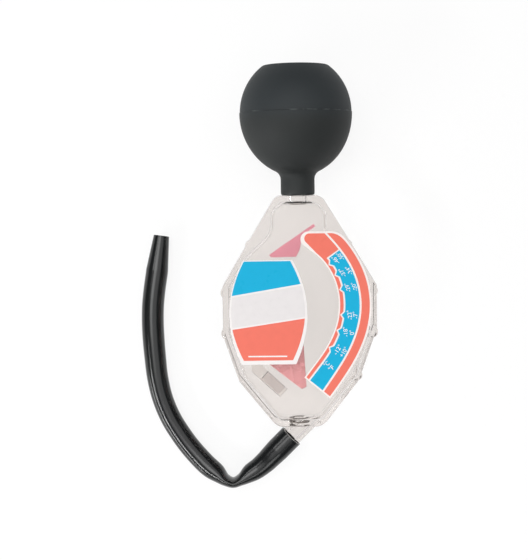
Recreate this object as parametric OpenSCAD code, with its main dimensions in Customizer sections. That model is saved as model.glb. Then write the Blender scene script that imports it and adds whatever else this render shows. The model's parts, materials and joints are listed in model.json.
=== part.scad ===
// Antifreeze hydrometer: a clear two-shell chamber with a swinging float pointer, a rubber squeeze bulb
// and a pick-up hose. It lies on its back on a table, printed face up. Millimetres.

/* [Clear body] */
// Width between the straight sides
body_w = 68; // [64:0.1:74]
// Height of the top edge above the middle of the sides
body_top = 52.1; // [48:0.1:56]
// Depth of the bottom edge below the middle of the sides
body_bottom = 50.7; // [48:0.1:53]
// Width of the top edge before its corners are rounded
top_w = 19.9; // [18:0.1:24]
// Width across the shoulder corners
shoulder_w = 45.9; // [43:0.1:48]
// Height of the shoulder corners
shoulder_y = 30.9; // [28:0.1:33]
// Height of the straight sides' upper ends
side_top = 12.4; // [11:0.1:14]
// Depth of the straight sides' lower ends
side_drop = 9.6; // [8:0.1:11]
// Width across the hip corners
hip_w = 54.4; // [52:0.1:57]
// Depth of the hip corners below the middle
hip_drop = 29.9; // [28:0.1:32]
// Width of the bottom edge before its corners are rounded
bottom_w = 21.2; // [19:0.1:24]
// Depth over both shells
body_depth = 22; // [20:0.1:26]
// Wall of the shells
wall = 2.4; // [1.8:0.1:3]
// Wall at the top of the chamber's neck
end_wall = 2.8; // [2.4:0.1:3.2]
// Chamfer round the front and back faces
edge = 0.8; // [0.6:0.1:1.2]
// Inside width of the chamber's neck
neck_w = 24.4; // [21:0.1:26]
// Height where the neck's sides start to spread
neck_y = 35.5; // [33:0.1:38]
// How far below the shoulder corners the chamber is at its full width
spread_drop = 6.3; // [5:0.1:8]
// Radius of the corner lugs
lug_r = 3; // [2.4:0.1:3.4]
// Height of the corner lugs over both shells
lug_h = 9; // [6:0.1:12]
// How far a lug stands out from its corner
lug_proud = 1.1; // [0.6:0.1:1.6]
// Height of the upper lugs on the straight sides
lug_y = 9.1; // [7:0.1:11]

/* [Bulb spigot and hose nipple] */
// Radius of the bulb spigot
spigot_r = 5.6; // [5.2:0.1:6]
// Length of the bulb spigot above the body
spigot_len = 9; // [7:0.1:11]
// Radius of the bulb spigot's bore
spigot_bore_r = 4; // [3:0.1:4.2]
// Radius of the collar that the hose butts against
collar_r = 4.7; // [4.4:0.1:5.4]
// Length of the collar below the body
collar_len = 7.1; // [6.6:0.1:8]
// Radius of the nipple inside the hose
nipple_r = 3.7; // [3.3:0.1:3.9]
// Length of the nipple inside the hose
nipple_len = 9.5; // [8:0.1:10]
// Radius of the nipple's bore
nipple_bore_r = 2.4; // [1.8:0.1:2.6]
// Place of the nipple along the bottom edge
nipple_x = 0.8; // [0:0.1:2]

/* [Squeeze bulb] */
// Radius of the bulb
bulb_r = 24.7; // [23.5:0.1:26]
// Height of the bulb's widest line above the body
bulb_rise = 36.1; // [35:0.1:39]
// Height of the bulb's upper half before its thumb face is cut flat
bulb_upper = 25.5; // [24:0.1:27]
// Radius of the flat thumb face
face_r = 14.6; // [14:0.1:15.4]
// Depth of the bulb's lower half
bulb_drop = 27.8; // [26:0.1:29]
// Wall of the bulb
bulb_t = 2.2; // [1.8:0.1:2.6]
// Thickness of the thumb face
crown_t = 2.6; // [2.2:0.1:3]
// Width of the fixed rim round the part of the thumb face that is pressed in
rim_w = 2.4; // [2:0.1:3]
// Gap round the pressed part of the thumb face
crown_gap = 0.2; // [0.15:0.05:0.3]
// Wall of the bulb's neck
neck_wall = 1.95; // [1.6:0.05:2.4]
// Width of the blend from the bulb to its neck
neck_blend = 2.4; // [2:0.1:2.8]
// How far the bulb's neck is stretched over its spigot
neck_grip = 0.1; // [0.05:0.05:0.2]

/* [Float pointer] */
// Place of the pivot to the left of the middle
pivot_x = 17.3; // [16.5:0.1:18]
// Height of the pivot
pivot_y = 2; // [1:0.1:3]
// Radius of the pivot pin
pin_r = 1; // [0.8:0.05:1.2]
// Length of the pivot pin
pin_len = 16; // [15:0.1:16.6]
// Running clearance of the float on the pin
pin_clear = 0.05; // [0.03:0.01:0.08]
// Clearance of the pin in its bosses
seat_clear = 0.02; // [0.01:0.01:0.04]
// Radius of the pin bosses
boss_r = 3.2; // [2.6:0.1:3.8]
// End play of the float between the bosses
end_play = 0.4; // [0.2:0.1:0.6]
// Radius of the float's hub
hub_r = 5; // [4.2:0.1:5.6]
// Length of the float's hub
hub_len = 7.4; // [6.8:0.1:8]
// Length of the pointer from the pivot to its tip
vane_len = 41.5; // [40:0.1:43]
// Thickness of the pointer
vane_t = 3; // [2.4:0.1:3.4]
// Width of the pointer's blunt tip
vane_tip_w = 2.4; // [1:0.1:3]
// Largest width of the pointer
vane_w = 23.8; // [22:0.1:26]
// Distance from the pivot to the pointer's widest place
vane_wide_at = 17.6; // [16:0.1:19]
// Width of the pointer inside its hub
vane_root_w = 9; // [8:0.1:9.6]
// Direction of the pointer as it hangs on its stop, from the right-hand side
vane_angle = -62.5; // [-68:0.5:-60]
// Swing of the float from stop to stop
swing = 100; // [90:1:104]
// Height of the ballast arm's upright
arm_drop = 28.5; // [27:0.1:30]
// Lean of the ballast arm's upright to the left
arm_lean = 2; // [1:0.1:2.6]
// Length of the ballast arm's slanting strip
strip_len = 16.3; // [15:0.1:17]
// Direction of the ballast arm's slanting strip, from the right-hand side
strip_angle = -43; // [-46:0.5:-40]
// Width of the ballast arm
arm_w = 5; // [4.4:0.1:5.6]
// Distance of the ballast slug from the elbow of its arm
slug_place = 10; // [9:0.1:11]
// Thickness of the ballast slug
slug_t = 3; // [2.4:0.1:3.4]
// Length of the ballast slug
slug_len = 10.5; // [8:0.1:11]
// Width of the ballast slug
slug_w = 4.1; // [3.6:0.1:5]
// Radius of the float stops
stop_r = 1.5; // [1.2:0.1:1.8]
// Gap between the float and a stop at the end of its swing
stop_gap = 0.25; // [0.2:0.05:0.4]
// Distance of the stops from the pivot
stop_at = 14; // [13:0.1:16]

/* [Hose] */
// Radius of the hose
hose_r = 4.75; // [4.5:0.05:5]
// Radius of the hose's bore
hose_bore_r = 3; // [2.8:0.1:3.2]
// Radius of the stretched end on the nipple
cuff_r = 5.45; // [5.2:0.05:5.6]
// Length of the stretched end
cuff_len = 13; // [12:0.1:14]
// How far the hose is stretched over its nipple
hose_grip = 0.1; // [0.05:0.05:0.2]
// Length of the tapered free end
tip_len = 17.5; // [16:0.1:19]
// Radius at the free end
tip_r = 3.55; // [3.3:0.05:4]
// Radius of the bore in the free end
tip_bore_r = 2.4; // [2:0.1:2.6]
// Direction of the free end, from the right-hand side
tip_heading = 82; // [80:0.5:84]
// How far each side of the hose is pinched in where it folds
pinch = 2.45; // [1.5:0.05:2.6]
// Length of the pinch each way
pinch_len = 8.5; // [6:0.1:10]

/* [Labels] */
// Thickness of the printed films
film_t = 0.2; // [0.1:0.05:0.3]
// Height of the name label
name_h = 46.2; // [42:0.1:48]
// Height of the name label's top edge
name_top = 24; // [22:0.1:26]
// Place of the name label's middle to the left of the body's middle
name_x = 13.9; // [13:0.1:14.5]
// Width of the name label's top edge
name_top_w = 21.8; // [18:0.1:23]
// Width of the name label's bottom edge
name_bottom_w = 24; // [20:0.1:26]
// Greatest width of the name label
name_w = 34.3; // [31:0.1:36]
// Radius of the dial's outer edge
dial_r = 45; // [44:0.1:45.4]
// Radius of the dial's inner edge
dial_inner_r = 33.8; // [33:0.1:35]
// How far the centre of the inner edge lies above the pivot
dial_shift = 1.9; // [1:0.1:2.5]
// How far the centre of the outer edge lies to the right of the pivot
dial_outer_x = 3.6; // [3:0.1:4.2]
// How far the centre of the outer edge lies above the pivot
dial_outer_y = 0.9; // [0.5:0.1:1.5]
// Length of the dial's straight lower end
dial_run = 13.8; // [11:0.1:15]
// Height of the dial's straight top edge
dial_top = 36.2; // [35:0.1:37]
// Length of the fill mark's slanting bar
mark_len = 24.6; // [22:0.1:26]
// Width of the fill mark's slanting bar
mark_bar = 1.4; // [1:0.1:2]
// Width of the flag under the fill mark's bar
flag_w = 11.4; // [9:0.1:12]

/* [Hidden] */
$fn = 64;

// Roundings of the outlines
top_r = 5;
bottom_r = 7;
shoulder_r = 6;
side_r = 3;
hip_r = 2;
least_r = 0.8;
neck_end_r = 1.5;
neck_curve_r = 9;
spread_r = 4;
nose_r = 2.6;
dial_corner_r = 4;

corner_steps = 4;
arc_steps = 24;
hose_sides = 12;
over = 1;

half_depth = body_depth / 2;
inner_depth = half_depth - wall;
bulb_y = body_top + bulb_rise;
crown_rise = bulb_upper * sqrt(1 - face_r * face_r / (bulb_r * bulb_r));
crown_y = bulb_y + crown_rise;
crown_r = face_r - rim_w;
bulb_neck_r = spigot_r + neck_wall;

// The body lies with the bulb and the lower edge of its back on the table, so it is tilted about X
rest_y = -body_bottom + edge;
rest_arm = bulb_y - rest_y;
rest_angle = atan2(half_depth, rest_arm);
rest_reach = norm([rest_arm, half_depth]);
first_tilt = asin(bulb_r / rest_reach) - rest_angle;
bulb_low = norm([bulb_r * cos(first_tilt), bulb_drop * sin(first_tilt)]);
tilt = asin(bulb_low / rest_reach) - rest_angle;
lift = bulb_low - bulb_y * sin(tilt);

// The nipple leaves the bottom edge down to the left, and its collar runs back into the body
nipple_angle = 45;
nipple_drop = 1.5;
collar_root = 7.5;
nipple_dir = [-sin(nipple_angle), -cos(nipple_angle), 0];
nipple_root = [nipple_x, -body_bottom - nipple_drop, 0];
hose_seat = nipple_root + collar_len * nipple_dir;
nipple_end = hose_seat + nipple_len * nipple_dir;

// The origin is under the middle of the box of the tester without its hose
high_y = crown_y * cos(tilt) + face_r * sin(tilt);
low_y = nipple_end.y * cos(tilt) - nipple_r * norm([sin(nipple_angle) * cos(tilt), sin(tilt)]);
shift_y = -(high_y + low_y) / 2;

function turned(p) = [p.x, p.y * cos(tilt) - p.z * sin(tilt), p.y * sin(tilt) + p.z * cos(tilt)];
function laid_point(p) = turned(p) + [0, shift_y, lift];
module laid() { translate([0, shift_y, lift]) rotate([tilt, 0, 0]) children(); }

// Rounded outlines: each corner is [x, y, radius]
function unit(v) = v / norm(v);
function flat_xy(p) = [p.x, p.y];
function corner_arc(before, at, after, r) =
    let (a = unit(before - at), b = unit(after - at), half = acos(a * b) / 2,
         centre = at + unit(a + b) * r / sin(half),
         from = at + a * r / tan(half) - centre, to = at + b * r / tan(half) - centre,
         start = atan2(from.y, from.x), turn = (atan2(to.y, to.x) - start + 540) % 360 - 180)
    [for (i = [0:corner_steps]) centre + r * [cos(start + turn * i / corner_steps),
                                              sin(start + turn * i / corner_steps)]];
function rounded(c) = let (n = len(c))
    [for (i = [0:n - 1]) each corner_arc(flat_xy(c[(i + n - 1) % n]), flat_xy(c[i]),
                                         flat_xy(c[(i + 1) % n]), c[i].z)];
function both_sides(right) = concat(right,
    [for (i = [len(right) - 1:-1:0]) [-right[i].x, right[i].y, right[i].z]]);

// Corners of the same outline drawn d further in
function inset(c, d) = let (n = len(c))
    [for (i = [0:n - 1])
        let (at = flat_xy(c[i]), before = flat_xy(c[(i + n - 1) % n]), after = flat_xy(c[(i + 1) % n]),
             a = unit(before - at), b = unit(after - at), p = at + unit(a + b) * d / sin(acos(a * b) / 2))
        [p.x, p.y, max(c[i].z - d, least_r)]];
function arc(centre, r, from, to) =
    [for (i = [0:arc_steps]) let (a = from + (to - from) * i / arc_steps) centre + r * [cos(a), sin(a)]];

// Bowed side of a label, from one end to the other, standing out by rise to the left of the way
function bowed(from, to, rise) = let (way = to - from, out = unit([-way.y, way.x]))
    [for (i = [0:arc_steps]) let (s = i / arc_steps) from + way * s + out * rise * 4 * s * (1 - s)];

body_right = [
    [top_w / 2, body_top, top_r],
    [shoulder_w / 2, shoulder_y, shoulder_r],
    [body_w / 2, side_top, side_r],
    [body_w / 2, -side_drop, side_r],
    [hip_w / 2, -hip_drop, hip_r],
    [bottom_w / 2, -body_bottom, bottom_r]];
body_corners = both_sides(body_right);

// The chamber keeps one wall inside the outline, and its neck is narrower still below the top corners
wall_corners = inset(body_corners, wall);
spread_at = wall_corners[1] + (wall_corners[2] - wall_corners[1]) * spread_drop / (shoulder_y - side_top);
neck_share = (neck_w / 2 - wall_corners[0].x) / (wall_corners[1].x - wall_corners[0].x);
neck_at = wall_corners[0] + (wall_corners[1] - wall_corners[0]) * neck_share;
chamber_outline = rounded(both_sides([
    [wall_corners[0].x, body_top - end_wall, neck_end_r],
    [neck_at.x, neck_at.y, neck_end_r],
    [neck_w / 2, neck_y, neck_curve_r],
    [spread_at.x, spread_at.y, spread_r],
    for (i = [2:5]) wall_corners[i]]));

// Lugs stand out most at the corners of the straight sides
lug_far = inset(body_corners, lug_r - lug_proud);
lug_near = inset(body_corners, lug_r - lug_proud / 2);
lug_places = [lug_near[1], [lug_far[2].x, lug_y], lug_far[3], lug_near[4]];

// Layers of the float along its pin: pointer, ballast arm, then slug
pivot = [-pivot_x, pivot_y];
hub_back = -hub_len / 2;
vane_back = -vane_t / 2;
boss_end = hub_len / 2 + end_play;
elbow = [-arm_lean, -arm_drop];
arm_way = [cos(strip_angle), sin(strip_angle)];
arm_end = elbow + strip_len * arm_way;
arm_angle = atan2(elbow.y, elbow.x);
slug_at = elbow + slug_place * arm_way;
stop_turn = asin((arm_w / 2 + stop_r + stop_gap) / stop_at);
stop_angles = [arm_angle - stop_turn, arm_angle + swing + stop_turn];
stop_end = stop_gap - vane_back;

// Hose route from the stretched end to the tapered end: x and y from the body's middle, and the height
// above the table
hose_points = [[-16.1, -68.8, 8.9], [-20, -72.1, 8.5], [-24, -74.7, 8], [-27.6, -76.8, 7.5],
               [-31, -78.5, 7.2], [-34.5, -77, 6.8], [-37.9, -74.6, 6.4], [-42.2, -71.2, 5.9],
               [-47.2, -66, 5.4], [-51.7, -60.6, 5.05], [-55.6, -55, 4.9], [-58.9, -49.5, 4.85],
               [-61.7, -43.3, 4.8], [-63.9, -36.7, 4.8], [-65.6, -29, 4.8], [-66.6, -21, 4.8],
               [-67.2, -13, 4.8], [-67.3, -5, 4.8], [-66.9, 3, 4.8], [-66, 10.5, 4.8]];
fold_point = 4;
tip_start = [-64.95, 17.4, 4.8];
tip_dir = [cos(tip_heading), sin(tip_heading), 0];
cuff_end = laid_point(hose_seat + cuff_len * nipple_dir);
route = concat([cuff_end], [for (p = hose_points) p + [0, shift_y, 0]], [tip_start + [0, shift_y, 0]]);
route_last = len(route) - 1;
function route_dir(i) = i == 0 ? unit(turned(nipple_dir)) : i == route_last ? tip_dir
    : unit(route[i + 1] - route[i - 1]);

// Where the hose folds it is pinched flat, and grows taller by as much as keeps its way round
fold_spread = PI / 2 - 1;
function pinch_at(i) = let (away = norm(route[i] - route[fold_point + 1]) / pinch_len)
    pinch * exp(-away * away);
function hose_ring(i, r) =
    let (d = route_dir(i), side = unit(cross(d, [0, 0, 1])), up = cross(side, d),
         across = (r - pinch_at(i)) * side / cos(180 / hose_sides),
         tall = (r + fold_spread * pinch_at(i)) * up / cos(180 / hose_sides))
    [for (k = [0:hose_sides - 1]) let (a = 360 * (k + 0.5) / hose_sides)
        route[i] + cos(a) * across + sin(a) * tall];

// Squeeze bulb: half an ellipse above its widest line, another below it, then a curve into the neck
join_r = bulb_neck_r + neck_blend;
join_angle = acos(join_r / bulb_r);
join_step = neck_blend / (bulb_r * sin(join_angle));
blend_y = bulb_y - bulb_drop * sin(join_angle) - bulb_drop * cos(join_angle) * join_step;
blend_len = norm([neck_blend, bulb_drop * cos(join_angle) * join_step]);
blend_from = [join_r, bulb_y - bulb_drop * sin(join_angle)];
blend_at = [bulb_neck_r, blend_y];
blend_to = [bulb_neck_r, blend_y - blend_len];
bulb_in_r = bulb_r - bulb_t;
bulb_in_drop = bulb_drop - bulb_t;
bulb_in_upper = bulb_upper - bulb_t;
bulb_bore_r = spigot_r - neck_grip;
rim_in_y = crown_rise - crown_t;

function bulb_outside() = concat(
    [for (i = [0:arc_steps]) let (a = asin(crown_rise / bulb_upper) * (1 - i / arc_steps))
        [bulb_r * cos(a), bulb_y + bulb_upper * sin(a)]],
    [for (i = [1:arc_steps]) let (a = join_angle * i / arc_steps)
        [bulb_r * cos(a), bulb_y - bulb_drop * sin(a)]],
    [for (i = [1:corner_steps]) let (s = i / corner_steps)
        (1 - s) * (1 - s) * blend_from + 2 * s * (1 - s) * blend_at + s * s * blend_to],
    [[bulb_neck_r, body_top]]);
function bulb_inside() = concat(
    [[bulb_bore_r, body_top]],
    [for (i = [arc_steps:-1:1]) let (a = acos(bulb_bore_r / bulb_in_r) * i / arc_steps)
        [bulb_in_r * cos(a), bulb_y - bulb_in_drop * sin(a)]],
    [for (i = [0:arc_steps]) let (a = asin(rim_in_y / bulb_in_upper) * i / arc_steps)
        [bulb_in_r * cos(a), bulb_y + bulb_in_upper * sin(a)]],
    [[crown_r + crown_gap, bulb_y + rim_in_y], [crown_r + crown_gap, crown_y]]);

module bulb_wall() {
    color("#373a3b") laid() rotate([-90, 0, 0]) rotate_extrude()
        polygon(concat(bulb_outside(), bulb_inside()));
}

module bulb_crown() {
    color("#3b3e3f") laid() translate([0, crown_y, 0]) rotate([90, 0, 0]) cylinder(h = crown_t, r = crown_r);
}

// Things that lie along the nipple, measured from the hose's seat
module along_nipple() { translate(hose_seat) rotate([90, 0, -nipple_angle]) children(); }

module ports() {
    translate([0, body_top + spigot_len, 0]) rotate([90, 0, 0])
        cylinder(h = spigot_len + wall, r = spigot_r);
    along_nipple() {
        translate([0, 0, -collar_len - collar_root]) cylinder(h = collar_len + collar_root, r = collar_r);
        cylinder(h = nipple_len, r = nipple_r);
    }
}

module port_bores() {
    translate([0, body_top + spigot_len + over, 0]) rotate([90, 0, 0])
        cylinder(h = spigot_len + 2 * wall + over, r = spigot_bore_r);
    along_nipple() translate([0, 0, -collar_len - collar_root])
        cylinder(h = collar_len + nipple_len + collar_root + over, r = nipple_bore_r);
}

// One shell, with its open side on the parting plane and its window at the front
module half_shell(stops) {
    difference() {
        union() {
            difference() {
                union() {
                    hull() {
                        linear_extrude(half_depth - edge) polygon(rounded(body_corners));
                        linear_extrude(half_depth) polygon(rounded(inset(body_corners, edge)));
                    }
                    for (side = [-1, 1], at = lug_places)
                        translate([side * at.x, at.y, 0]) cylinder(h = lug_h / 2, r = lug_r);
                    intersection() {
                        ports();
                        translate([-body_w, -2 * body_bottom, 0])
                            cube([2 * body_w, 4 * body_bottom, half_depth]);
                    }
                }
                translate([0, 0, -over]) linear_extrude(inner_depth + over) polygon(chamber_outline);
                port_bores();
            }
            translate([pivot.x, pivot.y, boss_end])
                cylinder(h = inner_depth - boss_end + wall / 2, r = boss_r);
            if (stops)
                for (a = stop_angles)
                    translate([pivot.x + stop_at * cos(a), pivot.y + stop_at * sin(a), stop_end])
                        cylinder(h = inner_depth - stop_end + wall / 2, r = stop_r);
        }
        translate([pivot.x, pivot.y, 0]) cylinder(h = pin_len / 2 + seat_clear, r = pin_r + seat_clear);
    }
}

module front_shell() { color("#dedcd8", 0.45) laid() half_shell(false); }

module rear_shell() { color("#d6d4d0", 0.45) laid() mirror([0, 0, 1]) half_shell(true); }

// Printed films
name_bottom = name_top - name_h;
name_bow = (name_w - (name_top_w + name_bottom_w) / 2) / 2;
name_outline = concat(
    bowed([-name_x - name_bottom_w / 2, name_bottom], [-name_x - name_top_w / 2, name_top], name_bow),
    bowed([-name_x + name_top_w / 2, name_top], [-name_x + name_bottom_w / 2, name_bottom], name_bow));

module name_label() {
    color("#f4f3f1") laid() translate([0, 0, half_depth]) linear_extrude(film_t) polygon(name_outline);
}

// The dial is a band round the pivot that ends in a straight run below and a rounded nose above
dial_inner = pivot + [0, dial_shift];
dial_outer = pivot + [dial_outer_x, dial_outer_y];
dial_bend = -37;
dial_nose = 54;
corner_trim = 5;
dial_run_way = [sin(dial_bend), -cos(dial_bend)];
nose_start = dial_inner + dial_inner_r * [cos(dial_nose), sin(dial_nose)];
nose_tip = nose_start + (dial_top - nose_start.y) / cos(dial_nose) * [-sin(dial_nose), cos(dial_nose)];
dial_end = asin((dial_top - dial_outer.y) / dial_r);
dial_corner = dial_outer + dial_r * [cos(dial_end), sin(dial_end)];
dial_outer_arc = arc(dial_outer, dial_r, dial_end - corner_trim, dial_bend);
dial_inner_arc = arc(dial_inner, dial_inner_r, dial_bend, dial_nose - corner_trim);
dial_outline = concat(
    [dial_inner_arc[0] + dial_run * dial_run_way],
    dial_inner_arc,
    corner_arc(nose_start, nose_tip, dial_corner, nose_r),
    corner_arc(nose_tip, dial_corner, dial_outer_arc[0], dial_corner_r),
    dial_outer_arc,
    [dial_outer_arc[arc_steps] + dial_run * dial_run_way]);

module scale_label() {
    color("#1fb0e2") laid() translate([0, 0, half_depth]) linear_extrude(film_t) polygon(dial_outline);
}

// Fill mark on the inside of the rear window: a slanting bar with a flag under it
mark_start = [-12.3, 23.8];
mark_angle = 34;
flag_share = 0.7;
flag_swell = [1.8, 3.3];

module fluid_mark() {
    color("#e3a3a8") laid() translate([mark_start.x, mark_start.y, -inner_depth]) linear_extrude(film_t) {
        rotate(mark_angle) square([mark_len, mark_bar]);
        polygon([[0, 0], [flag_w, 0], [flag_w, 0] + flag_swell,
                 flag_share * mark_len * [cos(mark_angle), sin(mark_angle)]]);
    }
}

module on_pivot() { laid() translate([pivot.x, pivot.y, 0]) children(); }

module pivot_pin() { color("silver") on_pivot() cylinder(h = pin_len, r = pin_r, center = true); }

module float_bore() { cylinder(h = 2 * hub_len, r = pin_r + pin_clear, center = true); }

vane_outline = [[vane_len, vane_tip_w / 2], [vane_len, -vane_tip_w / 2], [vane_wide_at, -vane_w / 2],
                [0, -vane_root_w / 2], [0, vane_root_w / 2], [vane_wide_at, vane_w / 2]];

module float_vane() {
    color("#dd9aa0", 0.85) on_pivot() difference() {
        translate([0, 0, vane_back]) {
            linear_extrude(vane_t) rotate(vane_angle) polygon(vane_outline);
            cylinder(h = hub_len / 2 - vane_back, r = hub_r);
        }
        float_bore();
    }
}

// A straight bar of the ballast arm
module arm_bar(from, to) {
    translate(from) rotate(atan2(to.y - from.y, to.x - from.x)) translate([0, -arm_w / 2])
        square([norm(to - from), arm_w]);
}

module ballast_arm() {
    color("#d8d6d2", 0.6) on_pivot() difference() {
        translate([0, 0, hub_back]) linear_extrude(vane_back - hub_back) {
            circle(r = hub_r);
            arm_bar([0, 0], elbow);
            translate(elbow) circle(r = arm_w / 2);
            arm_bar(elbow, arm_end);
        }
        float_bore();
    }
}

module ballast_slug() {
    color("#9a989b") on_pivot() translate([slug_at.x, slug_at.y, hub_back - slug_t / 2])
        rotate(atan2(arm_way.y, arm_way.x)) cube([slug_len, slug_w, slug_t], center = true);
}

// Hose: the stretched end on the nipple, the free stretch and the tapered end
cuff_straight = 8.5;
cuff_taper = 4;
bore_taper = 2;
tip_straight = 2;

module hose_cuff() {
    grip_r = nipple_r - hose_grip;
    color("#1f2122") laid() along_nipple() rotate_extrude() polygon([
        [grip_r, 0], [cuff_r, 0], [cuff_r, cuff_straight], [hose_r, cuff_straight + cuff_taper],
        [hose_r, cuff_len], [hose_bore_r, cuff_len], [hose_bore_r, nipple_len + bore_taper],
        [grip_r, nipple_len]]);
}

module hose_run() {
    rings = route_last + 1;
    points = concat([for (i = [0:route_last]) each hose_ring(i, hose_r)],
                    [for (i = [0:route_last]) each hose_ring(i, hose_bore_r)]);
    function outer(i, k) = i * hose_sides + k % hose_sides;
    function inner(i, k) = (rings + i) * hose_sides + k % hose_sides;
    faces = concat(
        [for (i = [0:route_last - 1], k = [0:hose_sides - 1]) each [
            [outer(i, k), outer(i, k + 1), outer(i + 1, k + 1)],
            [outer(i, k), outer(i + 1, k + 1), outer(i + 1, k)],
            [inner(i, k), inner(i + 1, k + 1), inner(i, k + 1)],
            [inner(i, k), inner(i + 1, k), inner(i + 1, k + 1)]]],
        [for (k = [0:hose_sides - 1]) each [
            [outer(0, k), inner(0, k), inner(0, k + 1)],
            [outer(0, k), inner(0, k + 1), outer(0, k + 1)],
            [outer(route_last, k), inner(route_last, k + 1), inner(route_last, k)],
            [outer(route_last, k), outer(route_last, k + 1), inner(route_last, k + 1)]]]);
    color("#1b1d1e") polyhedron(points, faces);
}

module hose_tip() {
    color("#232526") translate(route[route_last]) rotate([0, 90, tip_heading]) rotate_extrude() polygon([
        [tip_bore_r, 0], [hose_r, 0], [hose_r, tip_straight], [tip_r, tip_len], [tip_bore_r, tip_len]]);
}

bulb_wall();
bulb_crown();
front_shell();
rear_shell();
name_label();
scale_label();
fluid_mark();
pivot_pin();
float_vane();
ballast_arm();
ballast_slug();
hose_cuff();
hose_run();
hose_tip();
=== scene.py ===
"""Looks of the antifreeze hydrometer, lying on its back on a white table.

Lengths are millimetres in the tester's own frame unless a name ends in _m: x to the dial's side, y towards
the bulb, z out of the printed face, with the origin at the middle of the clear body. laid() carries points
from there to the row frame in metres. Angles are degrees in names and radians in sums.
"""
import json
import math

import bmesh
import bpy
import numpy as np
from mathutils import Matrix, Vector


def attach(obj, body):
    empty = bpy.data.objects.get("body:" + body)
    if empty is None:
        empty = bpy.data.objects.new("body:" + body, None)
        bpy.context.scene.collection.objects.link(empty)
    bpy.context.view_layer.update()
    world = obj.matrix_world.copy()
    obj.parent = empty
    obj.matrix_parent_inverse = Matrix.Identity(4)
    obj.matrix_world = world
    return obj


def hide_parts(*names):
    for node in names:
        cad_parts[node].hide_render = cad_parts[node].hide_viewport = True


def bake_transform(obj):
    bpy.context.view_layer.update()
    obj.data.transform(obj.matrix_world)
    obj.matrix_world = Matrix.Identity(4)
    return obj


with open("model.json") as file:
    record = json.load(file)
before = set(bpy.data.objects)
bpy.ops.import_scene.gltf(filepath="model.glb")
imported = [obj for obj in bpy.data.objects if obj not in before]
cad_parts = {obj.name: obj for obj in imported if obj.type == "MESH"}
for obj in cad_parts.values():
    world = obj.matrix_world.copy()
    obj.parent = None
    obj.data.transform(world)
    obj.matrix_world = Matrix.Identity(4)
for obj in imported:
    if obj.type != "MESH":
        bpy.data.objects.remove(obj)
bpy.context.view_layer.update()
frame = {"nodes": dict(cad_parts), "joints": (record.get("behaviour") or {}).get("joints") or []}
NODES = frame["nodes"]

# Clear body, as in the construction but for its lower right side and the chamber's top corners
BODY_W = 68.0
BODY_TOP = 52.1
BODY_BOTTOM = 50.7
TOP_W = 19.9
SHOULDER_W = 45.9
SHOULDER_Y = 30.9
SIDE_TOP = 12.4
SIDE_DROP = 9.6
HIP_W = 54.4
HIP_DROP = 29.9
BOTTOM_W = 21.2
TOP_R = 5.0
SHOULDER_R = 6.0
SIDE_R = 3.0
HIP_R = 2.0
BOTTOM_R = 7.0
LEAST_R = 0.8
HALF_DEPTH = 11.0
WALL = 2.4
END_WALL = 2.8
BODY_EDGE = 0.9
CHAMBER_EDGE = 2.0
NECK_W = 24.4
NECK_Y = 35.5
NECK_END_R = 1.5
CHAMBER_TOP_R = 8.0
NECK_CURVE_R = 9.0
SPREAD_DROP = 6.3
SPREAD_R = 4.0
RIGHT_SIDE_DROP = 6.8
RIGHT_HIP_IN = 1.3
RIGHT_BOTTOM_IN = 0.9
LUG_R = 3.0
LUG_H = 9.0
LUG_PROUD = 1.1
LUG_Y = 9.1
SPIGOT_R = 5.6
SPIGOT_LEN = 9.0
SPIGOT_BORE_R = 4.0
COLLAR_R = 4.7
COLLAR_LEN = 7.1
COLLAR_ROOT = 7.5
NIPPLE_R = 3.7
NIPPLE_LEN = 9.5
NIPPLE_BORE_R = 2.4
NIPPLE_X = 0.8
NIPPLE_DROP = 1.5
NIPPLE_DEG = 45.0
SEAM_GROOVE = 0.12
SEAM_GROOVE_H = 0.2
LUG_EDGE = 1.0
SPIGOT_EDGE = 0.6
COLLAR_EDGE = 0.15
NIPPLE_EDGE = 0.4
BOSS_EDGE = 0.3

# Squeeze bulb
BULB_R = 24.7
BULB_Y = 88.2
BULB_UPPER = 25.5
BULB_DROP = 27.8
FACE_R = 14.3
FACE_EDGE = 0.5
BULB_T = 2.2
FACE_T = 2.6
NECK_WALL = 1.95
NECK_BLEND = 2.4
SEAM_STEP = 0.2
SEAM_UP = 0.4
BULB_LEAN = 0.55
LEAN_FROM_Y = 57.0
SEAM_SOFT = 0.05
SEAM_FALL = 0.12
RIM_GAP = 0.05
RIM_SECTION = [(0.0, 1.2), (0.15, 0.4), (0.5, RIM_GAP)]
CEILING_R = 6.0
POLE_R = 0.01
UPPER_POINTS = 40
LOWER_POINTS = 44
INNER_LOW_POINTS = 30
INNER_TOP_POINTS = 24

# Float
PIVOT = np.array([-17.3, 2.0])
PIN_R = 1.0
PIN_CLEAR = 0.05
PIN_LEN = 16.0
SEAT_CLEAR = 0.02
BOSS_R = 3.2
HUB_R = 5.0
HUB_LEN = 7.4
END_PLAY = 0.4
VANE_LEN = 41.5
VANE_T = 3.0
VANE_TIP_W = 2.4
VANE_W = 23.8
VANE_WIDE_AT = 17.6
VANE_ROOT_W = 9.0
VANE_DEG = -62.5
VANE_TIP_ROUND = 0.3
VANE_WIDE_ROUND = 1.5
VANE_ROOT_ROUND = 1.0
HUB_EDGE = 0.25
ARM_EDGE = 0.2
SWING_DEG = 100.0
ARM_DROP = 28.5
ARM_LEAN = 2.0
STRIP_LEN = 16.3
STRIP_DEG = -43.0
ARM_W = 5.0
STOP_R = 1.5
STOP_GAP = 0.25
STOP_AT = 14.0

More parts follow.
